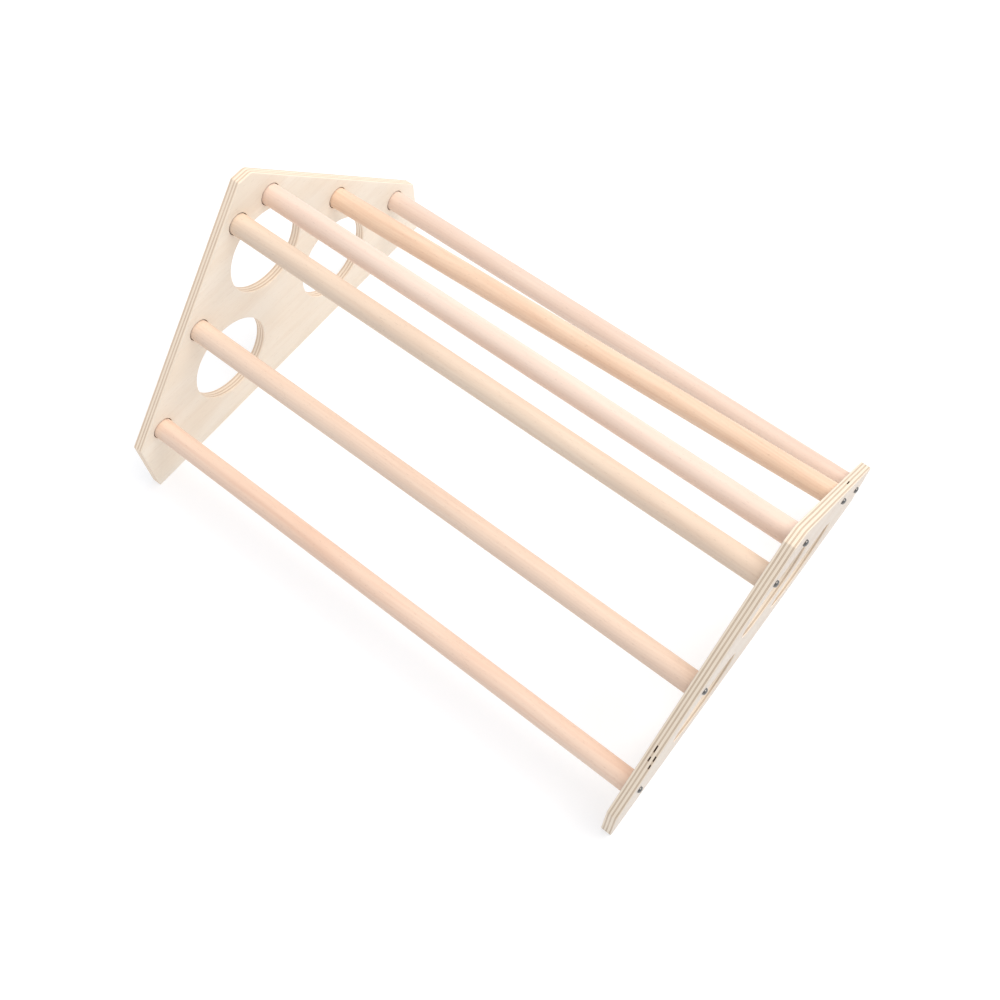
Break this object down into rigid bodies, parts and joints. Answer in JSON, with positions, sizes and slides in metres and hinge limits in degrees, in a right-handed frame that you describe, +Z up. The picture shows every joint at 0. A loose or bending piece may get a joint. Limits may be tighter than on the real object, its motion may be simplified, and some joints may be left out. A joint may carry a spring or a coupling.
{
  "type": "toddler climbing triangle",
  "caption": "Low wooden climbing frame: plywood side panels with round openings, joined by round beech rungs on a front and a rear slope, and fastened with pan-head screws.",
  "frame": {"origin": "on the floor, under the middle of the object", "axes": "+X along the rungs from the left panel to the right panel, +Y from the front slope to the rear slope, +Z up"},
  "size_m": [0.8072, 0.576, 0.3868],
  "materials": {
    "birch_plywood": "satin",
    "beech_dowel": "satin",
    "zinc_screw": "satin"
  },
  "bodies": {
    "root": {"side_panel_left": "birch_plywood", "side_panel_right": "birch_plywood", "front_rung_low": "beech_dowel", "front_rung_middle": "beech_dowel", "front_rung_top": "beech_dowel", "rear_rung_low": "beech_dowel", "rear_rung_middle": "beech_dowel", "rear_rung_top": "beech_dowel", "screw_left_front_rung_low": "zinc_screw", "screw_left_front_rung_middle": "zinc_screw", "screw_left_front_rung_top": "zinc_screw", "screw_left_rear_rung_low": "zinc_screw", "screw_left_rear_rung_middle": "zinc_screw", "screw_left_rear_rung_top": "zinc_screw", "screw_right_front_rung_low": "zinc_screw", "screw_right_front_rung_middle": "zinc_screw", "screw_right_front_rung_top": "zinc_screw", "screw_right_rear_rung_low": "zinc_screw", "screw_right_rear_rung_middle": "zinc_screw", "screw_right_rear_rung_top": "zinc_screw"}
  },
  "joints": []
}
